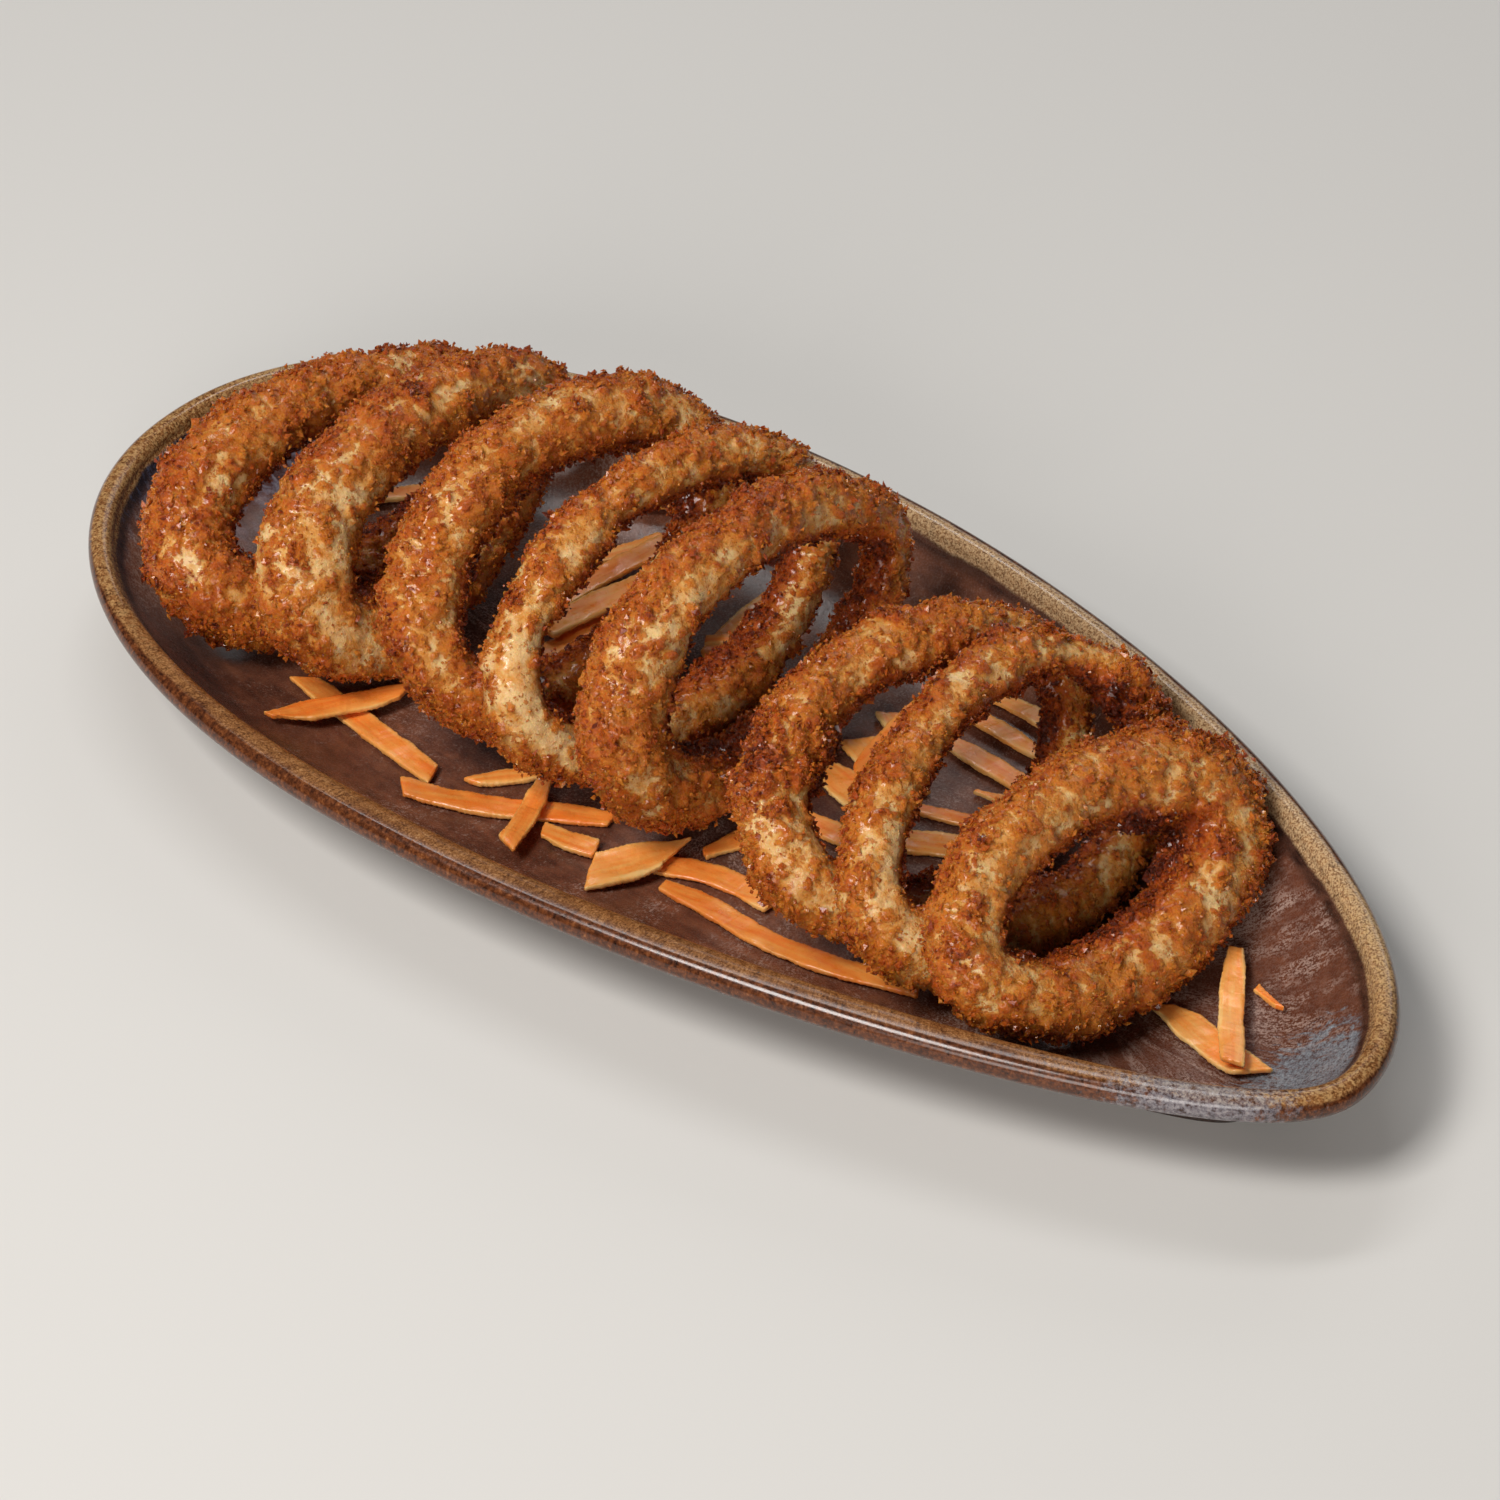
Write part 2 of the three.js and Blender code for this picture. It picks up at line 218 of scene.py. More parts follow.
def make_plate():
    section = plate_section()
    turn = np.arange(PLATE_STEPS) * 2 * math.pi / PLATE_STEPS
    floor_inset = section[0, 0]
    floor_x, floor_y = plate_edge(floor_inset, turn)
    rows = []
    for share in np.arange(1, FLOOR_ROWS) / FLOOR_ROWS:
        y = PLATE_AXIS_Y_MM + (floor_y - PLATE_AXIS_Y_MM) * share
        rows.append(np.stack([floor_x * share, y, np.full_like(y, FLOOR_MM + 0.1 * share ** 2)], 1))
    # the lip was rolled by hand, and lies broader along the front
    extra = FRONT_LIP_EXTRA_MM * smooth_step(-np.sin(turn - 0.35), 0.2, 0.9)
    whole_to, gone_at = FRONT_LIP_INSETS_MM
    for k, (inset, height) in enumerate(section):
        on_inside = k <= np.argmax(section[:, 1])
        share = min(inset / (2 * LIP_RADIUS_MM), (gone_at - inset) / (gone_at - whole_to), 1)
        x, y = plate_edge(inset + extra * (max(0, share) if on_inside else 0), turn)
        rows.append(np.stack([x, y, np.full_like(x, height)], 1))
    # how far past the lip's crest each row lies, counted along the section: the inside is below 0
    travelled = np.concatenate([[0], np.cumsum(np.hypot(*np.diff(section, axis=0).T))])
    travelled -= travelled[np.argmax(section[:, 1])]
    rim = np.stack(plate_edge(LIP_RADIUS_MM, turn), 1)
    across_floor = np.linspace(travelled[0] - FLOOR_RUN_MM, travelled[0], FLOOR_ROWS)[:-1]
    past_lip = np.concatenate([across_floor, travelled])
    past_lip = np.concatenate([np.repeat(past_lip, PLATE_STEPS), [past_lip[0], past_lip[-1]]])
    hubs = [[0, PLATE_AXIS_Y_MM, FLOOR_MM], [0, PLATE_AXIS_Y_MM, FOOT_MM[-1][1]]]
    points = np.concatenate(rows + [hubs])
    row = np.arange(len(rows) - 1)[:, None] * PLATE_STEPS
    step = np.arange(PLATE_STEPS)
    after = (step + 1) % PLATE_STEPS
    faces = np.stack([row + step, row + PLATE_STEPS + step, row + PLATE_STEPS + after, row + after], -1)
    faces = faces.reshape(-1, 4).tolist()
    hub = len(points) - 2
    last = (len(rows) - 1) * PLATE_STEPS
    faces += np.stack([np.full_like(step, hub), step, after], 1).tolist()
    faces += np.stack([np.full_like(step, hub + 1), last + after, last + step], 1).tolist()
    lip = smooth_step(points[:, 2], 15, 22)
    points[:, 2] += lip * LIP_SWAY_MM * swell(points * [1, 1, 0], 26, 3)
    plate = make_object("plate_glazed", points * MM, faces)
    set_field(plate.data, "past_lip", past_lip)
    rim = np.concatenate([np.tile(rim, (len(rows), 1)), np.zeros((2, 2))])
    set_field(plate.data, "rim_x", rim[:, 0])
    set_field(plate.data, "rim_y", rim[:, 1])
    return plate


class Recipe:
    """A material written as a short list of steps: each call adds a node and gives its output back."""

    def __init__(self, name):
        self.material = bpy.data.materials.new(name)
        self.material.use_nodes = True
        self.nodes = self.material.node_tree.nodes
        self.links = self.material.node_tree.links
        self.shader = self.nodes["Principled BSDF"]
        self.place = self.nodes.new("ShaderNodeTexCoord").outputs["Object"]

    def feed(self, socket, value):
        if isinstance(value, bpy.types.NodeSocket):
            self.links.new(value, socket)
        elif value is not None:
            socket.default_value = value

    def math(self, operation, a, b=None, c=None, clamp=False):
        node = self.nodes.new("ShaderNodeMath")
        node.operation = operation
        node.use_clamp = clamp
        for socket, value in zip(node.inputs, (a, b, c)):
            self.feed(socket, value)
        return node.outputs[0]

    def field(self, name):
        node = self.nodes.new("ShaderNodeAttribute")
        node.attribute_name = name
        return node.outputs["Fac"]

    def stretched(self, scale):
        node = self.nodes.new("ShaderNodeMapping")
        self.links.new(self.place, node.inputs["Vector"])
        node.inputs["Scale"].default_value = scale
        return node.outputs[0]

    def noise(self, size_mm, detail=3, rough=0.55, place=None, warp=0):
        node = self.nodes.new("ShaderNodeTexNoise")
        self.links.new(place or self.place, node.inputs["Vector"])
        node.inputs["Scale"].default_value = 1 / (size_mm * MM)
        node.inputs["Detail"].default_value = detail
        node.inputs["Roughness"].default_value = rough
        node.inputs["Distortion"].default_value = warp
        return node.outputs["Fac"]

    def ragged(self, size_mm, reach_mm):
        """Places pushed about unevenly, so that whatever is laid out by them gets a torn edge."""
        noise = self.nodes.new("ShaderNodeTexNoise")
        self.links.new(self.place, noise.inputs["Vector"])
        noise.inputs["Scale"].default_value = 1 / (size_mm * MM)
        pushed = self.nodes.new("ShaderNodeVectorMath")
        pushed.operation = "MULTIPLY_ADD"
        self.links.new(noise.outputs["Color"], pushed.inputs[0])
        pushed.inputs[1].default_value = [reach_mm * MM] * 3
        self.links.new(self.place, pushed.inputs[2])
        return pushed.outputs[0]

    def cells(self, size_mm, output, place):
        node = self.nodes.new("ShaderNodeTexVoronoi")
        self.links.new(place, node.inputs["Vector"])
        node.inputs["Scale"].default_value = 1 / (size_mm * MM)
        return node.outputs[output]

    def between(self, value, low, high, to_low=0.0, to_high=1.0):
        node = self.nodes.new("ShaderNodeMapRange")
        node.interpolation_type = "SMOOTHSTEP"
        self.links.new(value, node.inputs["Value"])
        for name, number in zip(("From Min", "From Max", "To Min", "To Max"), (low, high, to_low, to_high)):
            node.inputs[name].default_value = number
        return node.outputs[0]

    def split(self, vector):
        node = self.nodes.new("ShaderNodeSeparateXYZ")
        self.links.new(vector, node.inputs[0])
        return node.outputs

    def joined(self, x, y, z):
        node = self.nodes.new("ShaderNodeCombineXYZ")
        for socket, value in zip(node.inputs, (x, y, z)):
            self.feed(socket, value)
        return node.outputs[0]

    def near(self, here, centre, reach):
        """1 at a place on the plate, falling to 0 at reach from it."""
        away = [self.math("SUBTRACT", axis, middle) for axis, middle in zip(here, centre)]
        square = self.math("ADD", *[self.math("MULTIPLY", a, a) for a in away])
        return self.math("SUBTRACT", 1.0, self.math("DIVIDE", self.math("SQRT", square), reach), clamp=True)

    def ramp(self, value, stops):
        node = self.nodes.new("ShaderNodeValToRGB")
        self.links.new(value, node.inputs["Fac"])
        ramp = node.color_ramp
        while len(ramp.elements) < len(stops):
            ramp.elements.new(0.5)
        for element, (position, colour) in zip(ramp.elements, stops):
            element.position = position
            element.color = (*colour, 1)
        return node.outputs["Color"]

    def mix(self, share, first, second):
        node = self.nodes.new("ShaderNodeMix")
        node.data_type = "RGBA"
        self.feed(node.inputs["Factor"], share)
        colours = [s for s in node.inputs if s.type == "RGBA"]
        for socket, value in zip(colours, (first, second)):
            self.feed(socket, value if isinstance(value, bpy.types.NodeSocket) else (*value, 1))
        return [s for s in node.outputs if s.type == "RGBA"][0]

    def bump(self, height, distance_mm, strength):
        node = self.nodes.new("ShaderNodeBump")
        self.feed(node.inputs["Strength"], strength)
        node.inputs["Distance"].default_value = distance_mm * MM
        self.links.new(height, node.inputs["Height"])
        return node.outputs[0]


def linear(red, green, blue):
    """A screen colour in 0..255 as the light it stands for."""
    shares = [value / 255 for value in (red, green, blue)]
    return tuple(v / 12.92 if v <= 0.0404 else ((v + 0.055) / 1.055) ** 2.4 for v in shares)


class Glaze(Recipe):
    """A reactive glaze: it changes with the distance past the lip's crest and towards the plate's ends."""

    def __init__(self):
        super().__init__("reactive_glaze")
        self.here = self.split(self.place)
        self.past_lip = self.field("past_lip")
        self.past = self.math("ADD", self.past_lip, self.math("MULTIPLY_ADD", self.noise(9, 3), 2.0, -1.0))
        # the glaze has run in short strokes, square to the edge
        self.strokes = self.joined(*[self.math("MULTIPLY", self.field(name), share * MM)
                                     for name, share in (("rim_x", 1), ("rim_y", 1), ("past_lip", 0.4))])
        self.stroke = self.noise(1.3, 4, 0.75, self.strokes, 0.8)
        self.fine = self.noise(0.9, 5, 0.75)
        self.grain = self.noise(0.45, 4, 0.8)
        self.streak = self.noise(2.2, 5, 0.7, self.stretched((0.16, 1, 1)))
        self.cloud = self.noise(30, 4, 0.55)
        along = self.here[0]
        wide_end = self.between(self.math("MULTIPLY_ADD", self.cloud, 0.05, along), -0.09, -0.118)
        self.wide_end = self.math("MULTIPLY", wide_end, self.between(self.past_lip, -56, -36))
        self.narrow_end = self.between(self.math("MULTIPLY_ADD", self.cloud, 0.06, along), 0.09, 0.14)
        self.ends = self.math("MAXIMUM", self.between(along, 0.1, 0.135), self.between(along, -0.075, -0.12))

    def well(self):
        """Red-brown and mottled, with painted shade darkening the middle of the floor under the rings, and
        darker and redder towards the narrow end.
        """
        mottle = self.math("MULTIPLY", self.noise(3, 5, 0.7), 0.35)
        mottle = self.math("MULTIPLY_ADD", self.streak, 0.3, mottle)
        colour = self.ramp(self.math("MULTIPLY_ADD", self.cloud, 0.35, mottle), [
            (0.34, linear(62, 36, 28)), (0.47, linear(102, 62, 46)),
            (0.58, linear(128, 80, 58)), (0.72, linear(160, 112, 90))])
        # painted shade: the middle of the floor, under the rings, is mixed towards dark
        middle = self.between(self.here[0], 0.11, 0.08)
        middle = self.math("MULTIPLY", self.between(self.past_lip, -50, -64), middle)
        colour = self.mix(self.math("MULTIPLY", middle, 0.5), colour, linear(50, 38, 40))
        return self.mix(self.math("MULTIPLY", self.narrow_end, 0.5), colour, linear(82, 44, 32))

    def mauve_flecks(self):
        """Where the glaze lies thick it is flecked, most of all on the wall of the narrow end."""
        wall = self.between(self.past_lip, -80, -25)
        wall = self.math("MULTIPLY", wall, self.between(self.here[0], 0.07, 0.12))
        more = self.math("MULTIPLY", self.between(self.cloud, 0.4, 0.7), 0.07)
        more = self.math("ADD", self.math("MULTIPLY", wall, 0.075), more)
        fleck = self.math("MULTIPLY", self.noise(0.6, 4, 0.7, self.strokes), 0.5)
        fleck = self.math("MULTIPLY_ADD", self.grain, 0.5, fleck)
        fleck = self.between(self.math("ADD", fleck, more), 0.56, 0.61)
        bands = self.between(self.noise(7, 4, 0.6, self.strokes), 0.4, 0.6, 0.05, 0.65)
        return self.math("MULTIPLY", fleck, bands)

    def pools(self, colour):
        """The glaze pools navy and blue-grey at the wide end, and pale blue beside the narrow one."""
        navy = self.ramp(self.noise(3.5, 5, 0.7, self.stretched((0.5, 1, 1)), 0.6), [
            (0.36, linear(26, 23, 30)), (0.5, linear(50, 48, 60)),
            (0.58, linear(94, 104, 124)), (0.7, linear(140, 144, 152))])
        colour = self.mix(self.wide_end, colour, navy)
        torn = self.noise(3, 5, 0.8, self.strokes, 1)
        pool = self.math("MULTIPLY_ADD", torn, 1.8, self.near(self.here, NARROW_POOL, 0.022))
        pool = self.math("MULTIPLY", self.between(pool, 1.3, 1.5), 0.75)
        return self.mix(pool, colour, self.ramp(self.fine, [
            (0.35, linear(58, 44, 40)), (0.46, linear(112, 122, 132)), (0.65, linear(152, 168, 178))]))

    def painted_shade_under_lip(self):
        # painted shade: a dark band on the inside wall just under the lip, navy at the wide end where the
        # glaze pools
        shade = self.ramp(self.streak, [(0.35, linear(38, 22, 18)), (0.6, linear(84, 54, 42))])
        navy = self.mix(self.between(self.stroke, 0.5, 0.62), linear(20, 20, 30), linear(62, 70, 92))
        return self.mix(self.wide_end, shade, navy)

    def gold(self):
        """Brown-gold where the glaze breaks thin, paler along the back and at both ends."""
        colour = self.math("MULTIPLY", self.grain, 0.65)
        colour = self.ramp(self.math("MULTIPLY_ADD", self.stroke, 0.35, colour), [
            (0.36, linear(50, 28, 16)), (0.46, linear(112, 70, 38)),
            (0.55, linear(158, 108, 62)), (0.7, linear(206, 166, 116))])
        cream = self.between(self.grain, 0.42, 0.58, 0.1, 0.7)
        cream = self.math("MULTIPLY", self.between(self.here[1], 0.0, 0.03), cream)
        colour = self.mix(cream, colour, linear(216, 188, 146))
        tan = self.math("MULTIPLY", self.ends, self.between(self.fine, 0.46, 0.58, 0.0, 0.5))
        return self.mix(tan, colour, linear(206, 168, 112))

    def rust(self):
        flow = self.math("MULTIPLY_ADD", self.stroke, 0.3, self.math("MULTIPLY", self.fine, 0.7))
        return self.ramp(flow, [
            (0.36, linear(30, 14, 8)), (0.48, linear(78, 40, 20)),
            (0.58, linear(112, 62, 32)), (0.7, linear(160, 106, 62))])

    def grey_patch(self, colour):
        """One patch of the lip, on the front of the narrow end, has turned grey."""
        grey = self.ramp(self.fine, [
            (0.38, linear(60, 40, 30)), (0.47, linear(112, 112, 122)), (0.62, linear(158, 162, 168))])
        patch = self.near(self.here, GREY_PATCH, 0.026)
        patch = self.math("MULTIPLY_ADD", self.noise(1.6, 5, 0.75), 1.8, patch)
        patch = self.math("MULTIPLY", self.between(patch, 1.2, 1.6), self.between(self.past, -3, -1))
        return self.mix(self.math("MULTIPLY", patch, 0.65), colour, grey)

    def finish(self):
        colour = self.mix(self.mauve_flecks(), self.well(), linear(184, 158, 146))
        colour = self.pools(colour)
        # from the inside out: a band of painted shade, gold under the crest, rust over it, painted shade on
        # the outside under the rim
        colour = self.mix(self.between(self.past, -8.2, -6.2), colour, self.painted_shade_under_lip())
        colour = self.mix(self.between(self.past, -5.4, -4.2), colour, self.gold())
        past_gold = self.math("MULTIPLY_ADD", self.ends, -1.4, self.past)
        colour = self.mix(self.between(past_gold, -0.1, 1.0), colour, self.rust())
        colour = self.grey_patch(colour)
        # painted shade: the outside wall below the lip is mixed towards dark brown
        painted_shade_outside = self.math("MULTIPLY", self.between(self.past, 5, 12), 0.7)
        self.feed(self.shader.inputs["Base Color"], self.mix(painted_shade_outside, colour, linear(58, 38, 30)))
        on_lip = self.between(self.past, -5, -3)
        gloss = self.between(self.grain, 0.35, 0.65, 0.2, 0.34)
        self.feed(self.shader.inputs["Roughness"], self.math("MULTIPLY_ADD", on_lip, -0.08, gloss))
        strength = self.math("MULTIPLY_ADD", on_lip, -0.2, 0.35)
        self.feed(self.shader.inputs["Normal"], self.bump(self.fine, 0.08, strength))
        return self.material


plate = make_plate()
plate.data.materials.append(Glaze().finish())
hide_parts("plate")
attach(plate, "root")

# ---- The squid rings ----
# Squid body rings dipped in egg, rolled in coarse breadcrumb and fried: a lumpy granular crust, golden
# and cream where it faces out, red-brown where crumbs stand up along the edges of the tube.
RINGS = [f"squid_ring_{k}" for k in range(1, 9)]
CRUST_STEP_MM = 0.78
CRUST_SUNK_MM = 0.8  # the crust starts this far inside the solid, so that its crumbs end on it
CLUMP_MM = 3.6
CRUMB_MM = 2.0
FINE_CRUMB_MM = 1.5
KNOT_MM = 5.5
CRUMB_SPECK_MM = 1.2
# for each ring: how thick the crumb lies, the spot where it fell away and how far, and where it is knotted;
# a spot is given as the direction from the ring's middle
COATS = {1: (0.64, (0, 0, 1), 0, []),
         2: (0.50, (-0.1, -1, -0.1), 0.5, []),
         3: (0.56, (0, 0, 1), 0, []),
         4: (0.46, (-0.2, -1, -0.1), 0.65, []),
         5: (0.52, (-0.5, -0.7, 0.5), 0.4, []),
         6: (0.55, (-0.3, -1, -0.3), 0.8, [(-0.45, -1, 0.5)]),
         7: (0.48, (-0.2, -1, 0), 0.7, [(0, 1, 0)]),
         8: (0.54, (-0.8, 0.3, 0.3), 0.6, [(0.2, 1, -0.2), (-0.3, 1, 0.3)])}


def voxel_copy(node, name, step_mm, rounding=0):
    """A copy of a construction solid with even faces about step_mm across, its corners rounded if asked."""
    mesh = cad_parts[node].data.copy()
    mesh.name = name
    made = bpy.data.objects.new(name, mesh)
    bpy.context.scene.collection.objects.link(made)
    weld = made.modifiers.new("weld", "WELD")
    weld.merge_threshold = 0.02 * MM
    round_off = made.modifiers.new("round", "SUBSURF")
    round_off.levels = round_off.render_levels = rounding
    remesh = made.modifiers.new("even", "REMESH")
    remesh.mode = "VOXEL"
    remesh.voxel_size = step_mm * MM
    graph = bpy.context.evaluated_depsgraph_get()
    even = bpy.data.meshes.new_from_object(made.evaluated_get(graph))
    made.modifiers.clear()
    made.data = even
    made.data.materials.clear()
    even.shade_smooth()
    return made


def points_of(mesh):
    points = np.zeros(len(mesh.vertices) * 3)
    mesh.vertices.foreach_get("co", points)
    return points.reshape(-1, 3) / MM


def normals_of(mesh):
    normals = np.zeros(len(mesh.vertices) * 3)
    mesh.vertex_normals.foreach_get("vector", normals)
    return normals.reshape(-1, 3)


def put_points(mesh, points):
    mesh.vertices.foreach_set("co", (points * MM).ravel())
    mesh.update()


def crumbs_at(points, size, seed):
    """How far inside its crumb each point is, its crumb's random number, and the height of its tilt."""
    place = points / size
    base = np.floor(place).astype(np.int64)
    nearest = np.full(len(points), 9.0)
    second = np.full(len(points), 9.0)
    pick = np.zeros(len(points))
    tilt = np.zeros(len(points))
    for step in np.ndindex(3, 3, 3):
        cell = base + np.array(step) - 1
        random = [lattice_random(cell, seed + k) for k in range(4)]
        away = place - cell - np.stack(random[:3], 1)
        distance = np.sqrt((away ** 2).sum(1))
        closer = distance < nearest
        second = np.where(closer, nearest, np.minimum(second, distance))
        pick = np.where(closer, random[3], pick)
        lean = (away * (np.stack(random[1:4], 1) - 0.5)).sum(1)
        tilt = np.where(closer, lean, tilt)
        nearest = np.where(closer, distance, nearest)
    return second - nearest, pick, tilt


def second_pick(pick):
    """Another number in 0..1 for each crumb, worked out from its first."""
    return (pick * 7.3) % 1


def stuck_crumbs(points, size_mm, seed, share, slope, rise, lean):
    """Crumbs of one size, of which a share stuck: where they lie, how high they stand, a number for each."""
    inside, pick, tilt = crumbs_at(points, size_mm, seed)
    stuck = smooth_step(inside, 0, slope) * smooth_step(share - pick, -0.04, 0.04)
    other = second_pick(pick)
    return stuck, stuck * (0.3 + rise * other + lean * tilt), other


def towards(outward, spot):
    """1 on the ring's side that faces the spot's direction, -1 on the far side."""
    return outward @ np.array(spot) / np.linalg.norm(spot)


def crumb_ring(node, number):
    ring = voxel_copy(node, f"crumbed_{node}", CRUST_STEP_MM, rounding=2)
    mesh = ring.data
    points = points_of(mesh)
    normals = normals_of(mesh)
    middle = points.mean(0)
    outward = points - middle
    outward /= np.linalg.norm(outward, axis=1)[:, None]
    face = np.linalg.eigh(np.cov((points - middle).T))[1][:, 0]
    shift = points + 100 * number
    coat, spot, gone, knotted = COATS[number]

    # the crumb lies thick along the edges of the tube and in patches over its faces
    edge = 1 - smooth_step(np.abs(normals @ face), 0.3, 0.9)
    patch = 0.5 * swell(shift, 12, 13) + 0.45 * swell(shift, 6, 14) + 0.3 * swell(shift, 3, 15)
    bare = smooth_step(towards(outward, spot) + 0.12 * patch, 0.72, 0.95)
    thick = np.clip(coat + 0.34 * edge + 0.75 * patch - gone * bare * (0.8 - 0.5 * edge), 0.02, 1)

    # each crumb is a tilted ragged lump that either stuck or did not
    ragged = shift + 0.5 * np.stack([swell(shift, 1.6, 61 + k) for k in range(3)], 1)
    clumps, clump_height, _ = stuck_crumbs(
        ragged, CLUMP_MM, seed=20, share=thick * 0.8, slope=0.2, rise=0.8, lean=0.9)
    crumbs, crumb_height, shade = stuck_crumbs(
        ragged, CRUMB_MM, seed=25, share=thick * 0.85, slope=0.22, rise=0.4, lean=0.6)
    stuck = np.maximum(clumps, crumbs)
    inside, pick, tilt = crumbs_at(ragged, FINE_CRUMB_MM, 30)
    fine = smooth_step(inside, 0, 0.3) * pick + tilt * 0.5

    # here and there a knot of crumbs stands up, darker than the rest
    inside, pick, tilt = crumbs_at(ragged, KNOT_MM, 50)
    knot = smooth_step(inside, 0.12, 0.5) * smooth_step(pick, 0.8, 0.86)
    for spot in knotted:
        close = smooth_step(towards(outward, spot) + 0.03 * patch, 0.94, 0.99)
        knot = np.maximum(knot, 2 * close * smooth_step(inside, 0.02, 0.3))

    swollen = swell(shift, 14, 11) + 0.6 * swell(shift, 7, 12) + 0.3 * swell(shift, 3.6, 18)
    height = swollen - CRUST_SUNK_MM + np.maximum(clump_height, crumb_height)
    height += (0.4 + 0.25 * stuck) * fine + 0.8 * knot
    points = points + normals * height[:, None]
    put_points(mesh, points)

    # painted shade: the inner side of the ring, facing into its hole, gets more crumb cover and a darker
    # tone
    inner = smooth_step(-(outward * normals).sum(1), 0.1, 0.8)
    cover = np.clip(np.clip(0.4 * thick + 0.6 * stuck + knot, 0, 1) + 0.5 * inner, 0, 1)
    dark = 0.1 * edge + 0.25 * shade * stuck + 0.15 * swell(shift, 4, 16) + 0.12 * swell(shift, 14, 17)
    dark += 0.25 * np.minimum(knot, 1) + 0.4 * inner + 0.4 * (coat - 0.5) - 0.04
    set_field(mesh, "cover", cover)
    set_field(mesh, "dark", dark)
    return ring, (points, normals_of(mesh), edge, cover, dark, knot)


def laid_on(normals, loose, random):
    """Turns that lay crumbs flat on the crust, the looser the more tipped, as 3 x 3 matrices."""
    up = normals + loose * random.normal(size=normals.shape)
    up /= np.linalg.norm(up, axis=1)[:, None]
    across = np.cross(up, random.normal(size=up.shape))
    across /= np.linalg.norm(across, axis=1)[:, None]
    return np.stack([across, np.cross(up, across), up], 2)


# a grain has six faces round a crooked triangle, a chip has eight
THIRDS = np.arange(3) * 2 * math.pi / 3
GRAIN = (np.array([[math.cos(a), math.sin(a), 0] for a in THIRDS] + [[0, 0, 0.9], [0, 0, -0.9]]),
         np.array([[0, 1, 3], [1, 2, 3], [2, 0, 3], [1, 0, 4], [2, 1, 4], [0, 2, 4]]))
CHIP = (np.array([[1, 0, 0], [0, 1, 0], [-1, 0, 0], [0, -1, 0], [0, 0, 1], [0, 0, -1]], float),
        np.array([[0, 1, 4], [1, 2, 4], [2, 3, 4], [3, 0, 4], [1, 0, 5], [2, 1, 5], [3, 2, 5], [0, 3, 5]]))


def scatter_crumbs(name, chip, surfaces, count, size_mm, shape, weigh, loose, sink, darker, seed):
    """Joins count chips stuck in the crusts. weigh says how many lie where, sink how far out each stands."""
    random = np.random.default_rng(seed)
    points, normals, edge, cover, dark, knot = [np.concatenate(parts) for parts in zip(*surfaces)]
    weight = weigh(edge, cover, knot)
    at = random.choice(len(points), count, p=weight / weight.sum())
    size = random.uniform(*size_mm, count) * random.uniform(0.6, 1, count)
    corners, faces = chip
    bent = corners[None] * random.uniform(0.65, 1.35, (count, len(corners), 1))
    bent = bent * np.array(shape) * size[:, None, None] / 2
    turn = laid_on(normals[at], loose, random)
    centre = points[at] + random.uniform(-0.35, 0.35, (count, 3))
    centre += normals[at] * (size * random.uniform(*sink, count))[:, None]
    placed = np.einsum("nij,nkj->nki", turn, bent) + centre[:, None]
    tone = dark[at] + random.normal(darker, 0.2, count)
    whole = (faces[None] + np.arange(count)[:, None, None] * len(corners)).reshape(-1, 3)
    crumbs = make_object(name, placed.reshape(-1, 3) * MM, whole.tolist(), smooth=False)
    set_field(crumbs.data, "dark", np.repeat(tone, len(corners)))
    set_field(crumbs.data, "cover", np.full(count * len(corners), 1.6))
    return crumbs


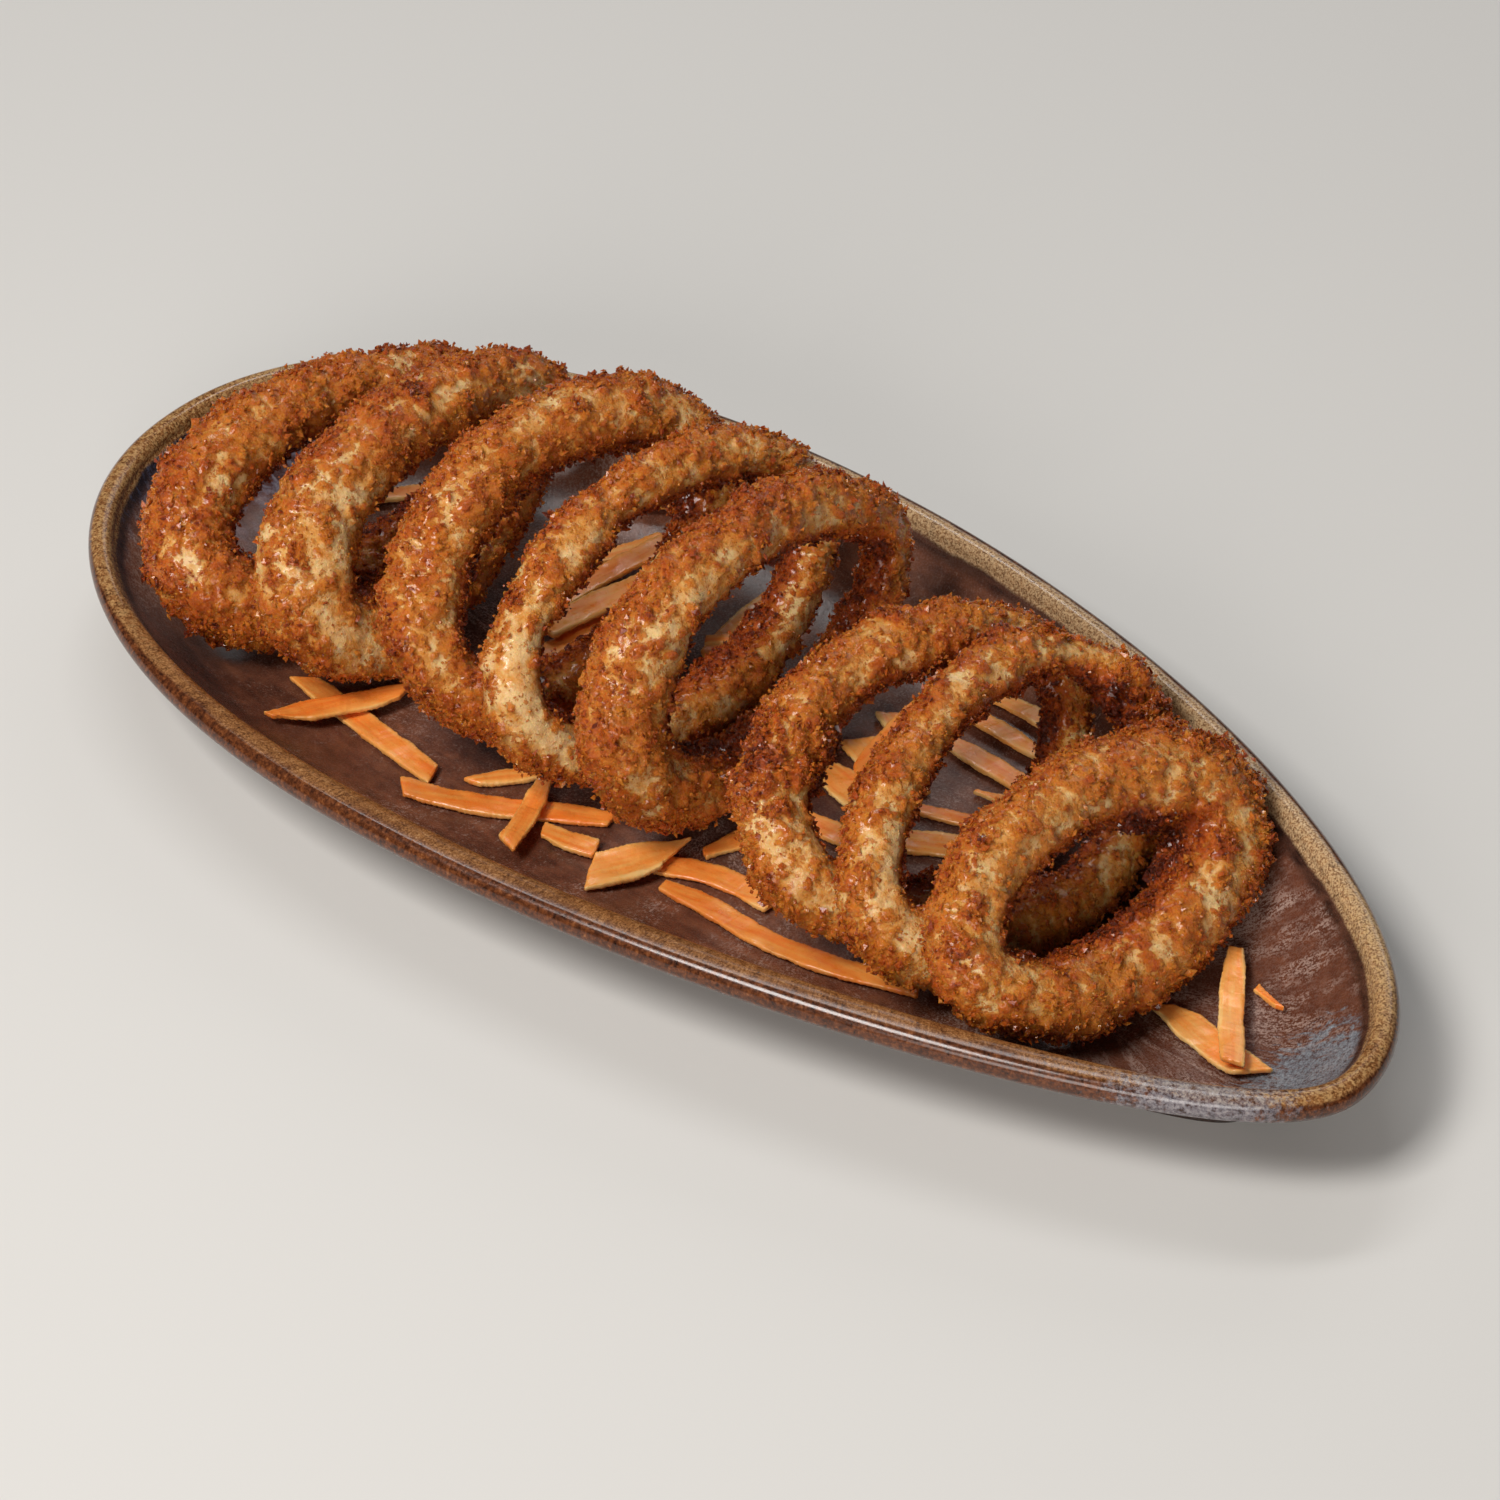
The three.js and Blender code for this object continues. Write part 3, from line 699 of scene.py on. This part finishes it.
def crust():
    r = Recipe("fried_crumb")
    grain = r.noise(0.5, 5, 0.75)
    patchy = r.noise(2.0, 5, 0.7)
    torn = r.ragged(0.5, 1.4)
    chip = r.cells(CRUMB_SPECK_MM, "Color", torn)
    crumbs = r.cells(CRUMB_SPECK_MM, "Distance", torn)
    # single crumbs speckle the coat, closer together as the cover thickens, until they join
    reach = r.math("MULTIPLY_ADD", chip, -0.7, r.math("MULTIPLY", patchy, 0.5))
    reach = r.math("MULTIPLY_ADD", r.field("cover"), 1.1, reach)
    speck = r.between(r.math("SUBTRACT", reach, crumbs), -0.3, -0.18)
    stuck = r.math("MULTIPLY_ADD", grain, 0.6, r.math("MULTIPLY_ADD", patchy, 0.5, r.field("cover")))
    covered = r.math("MAXIMUM", r.math("MULTIPLY", speck, 0.85), r.between(stuck, 1.1, 1.28))
    # the coat under the crumb goes from golden to cream where it is barest
    bare = r.math("MULTIPLY_ADD", r.field("cover"), -0.3, r.math("MULTIPLY_ADD", r.noise(5, 3), 0.5, 0.14))
    coat = r.ramp(r.math("MULTIPLY_ADD", patchy, 0.5, bare), [
        (0.34, linear(190, 98, 26)), (0.45, linear(212, 130, 46)),
        (0.55, linear(228, 158, 76)), (0.68, linear(246, 206, 144))])
    tone = r.math("MULTIPLY_ADD", chip, 0.45, r.field("dark"))
    tone = r.math("ADD", tone, r.math("MULTIPLY_ADD", grain, 0.9, -0.55))
    crumb = r.ramp(tone, [
        (0.0, linear(218, 130, 42)), (0.25, linear(204, 106, 30)), (0.5, linear(182, 82, 20)),
        (0.78, linear(144, 54, 14)), (1.0, linear(88, 30, 10))])
    r.feed(r.shader.inputs["Base Color"], r.mix(covered, coat, crumb))
    r.feed(r.shader.inputs["Roughness"], r.between(r.noise(0.9, 2), 0.4, 0.6, 0.16, 0.42))
    r.shader.inputs["Specular IOR Level"].default_value = 0.35
    r.shader.inputs["Coat Weight"].default_value = 0.4
    r.shader.inputs["Coat Roughness"].default_value = 0.12
    r.shader.inputs["Subsurface Weight"].default_value = 0.3
    r.shader.inputs["Subsurface Radius"].default_value = (1.0, 0.3, 0.08)
    r.shader.inputs["Subsurface Scale"].default_value = 0.002
    height = r.math("SUBTRACT", r.math("MULTIPLY_ADD", covered, 0.5, grain), r.math("MULTIPLY", crumbs, 0.5))
    r.feed(r.shader.inputs["Normal"], r.bump(height, 0.5, r.between(covered, 0, 1, 0.85, 1.0)))
    return r.material


crust_material = crust()
surfaces = []
for number, node in enumerate(RINGS, 1):
    ring, surface = crumb_ring(node, number)
    ring.data.materials.append(crust_material)
    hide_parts(node)
    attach(ring, "root")
    surfaces.append(surface)

grains = scatter_crumbs(
    "crumb_grains", GRAIN, surfaces, count=32500, size_mm=(0.5, 1.1), shape=(1, 0.85, 0.85),
    weigh=lambda edge, cover, knot: 0.22 + cover ** 2 + 0.4 * edge + knot,
    loose=1.5, sink=(-0.1, 0.3), darker=-0.02, seed=7)
tips = scatter_crumbs(
    "crumb_tips", GRAIN, surfaces, count=19000, size_mm=(0.6, 1.6), shape=(0.8, 0.7, 1),
    weigh=lambda edge, cover, knot: 0.01 + cover ** 3 + edge * cover + 2 * knot,
    loose=0.8, sink=(0.1, 0.5), darker=0.05, seed=9)
chips = scatter_crumbs(
    "crumb_chips", CHIP, surfaces, count=23500, size_mm=(0.8, 2.6), shape=(1, 0.75, 0.4),
    weigh=lambda edge, cover, knot: 0.1 + cover ** 3 + cover * edge + 3 * knot,
    loose=0.6, sink=(-0.08, 0.2), darker=0.1, seed=8)
for crumbs in (grains, tips, chips):
    crumbs.data.materials.append(crust_material)
    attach(crumbs, "root")

# ---- The cut carrot ----
# Raw carrot cut into thin flat strips with a blade that leaves fine ridges along them, still moist. The
# strips lie loose on the glaze, across one another and under the rings.
STRIPS = [f"carrot_strip_{k:02d}" for k in range(1, 33)]
STRIP_STEP_MM = 0.5
SHAVED = 0.4  # how much of a strip's thickness the blade took
SHAVED_DROP_MM = 0.35  # lets the thinner strip down to where its solid lies
SLANT_REACH_MM = 5
TAPER_REACH_MM = 9


def cut_strip(node, number):
    strip = voxel_copy(node, f"cut_{node}", STRIP_STEP_MM)
    mesh = strip.data
    points = points_of(mesh)
    normals = normals_of(mesh)
    middle = points.mean(0)
    thin, wide, length = np.linalg.eigh(np.cov((points - middle).T))[1].T
    run = (points - middle) @ length
    side = (points - middle) @ wide
    # shaved from above, so that the lower face stays where it lies
    up = thin * np.sign(thin[2])
    high = (points - middle) @ up
    half_way = np.polyval(np.polyfit(run, high, 4), run)
    points += up * ((high - half_way) * -SHAVED - SHAVED_DROP_MM)[:, None]
    # the ends are cut at a slant and often taper
    own, *random = lattice_random(np.array([[number, k, 0] for k in range(5)]), 5)
    for end, slant, taper in ((run.max(), random[0], random[2]), (run.min(), random[1], random[3])):
        slanted = smooth_step(-np.abs(run - end), -SLANT_REACH_MM, 0) * side * (slant - 0.5) * 1.6
        narrowed = smooth_step(-np.abs(run - end), -TAPER_REACH_MM, 0) * side * (taper ** 2 * 0.75)
        points += length * slanted[:, None] - wide * narrowed[:, None]
    shift = points + 40 * number
    ridges = 0.05 * np.sin(run * 5.2 + side * 1.5 + 4 * swell(shift, 5, 43))
    height = 0.24 * swell(shift, 4, 41) + 0.12 * swell(shift, 1.6, 42) + ridges
    put_points(mesh, points + normals * height[:, None])
    set_field(mesh, "own", np.full(len(points), own))
    set_field(mesh, "run", run)
    set_field(mesh, "side", side)
    set_field(mesh, "pale", smooth_step(np.abs(side) / np.abs(side).max(), 0.55, 1))
    return strip


def carrot():
    r = Recipe("cut_carrot")
    # the grain runs along the strip, and its sides are paler than its middle
    along = r.math("MULTIPLY", r.field("run"), 0.1 * MM)
    aside = r.math("MULTIPLY", r.field("side"), MM)
    grain_lines = r.noise(1.1, 4, 0.6, r.joined(along, aside, r.field("own")))
    tone = r.math("MULTIPLY_ADD", r.field("own"), 0.25, r.math("MULTIPLY", r.noise(6, 3), 0.4))
    tone = r.math("ADD", grain_lines, r.math("SUBTRACT", tone, 0.27))
    tone = r.math("MULTIPLY_ADD", r.field("pale"), 0.3, tone)
    colour = r.ramp(tone, [(0.3, linear(250, 128, 44)), (0.55, linear(255, 156, 68)),
                           (0.8, linear(255, 182, 96)), (1.0, linear(255, 208, 134))])
    r.feed(r.shader.inputs["Base Color"], colour)
    r.feed(r.shader.inputs["Roughness"], r.between(r.noise(1.5, 3), 0.35, 0.65, 0.25, 0.45))
    r.shader.inputs["Coat Weight"].default_value = 0.4
    r.shader.inputs["Coat Roughness"].default_value = 0.25
    r.shader.inputs["Subsurface Weight"].default_value = 0.1
    r.shader.inputs["Subsurface Radius"].default_value = (1.0, 0.45, 0.15)
    r.shader.inputs["Subsurface Scale"].default_value = 0.002
    r.feed(r.shader.inputs["Normal"], r.bump(r.math("ADD", grain_lines, r.noise(0.6, 3)), 0.08, 0.6))
    return r.material


carrot_material = carrot()
for number, node in enumerate(STRIPS):
    strip = cut_strip(node, number)
    strip.data.materials.append(carrot_material)
    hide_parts(node)
    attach(strip, "root")
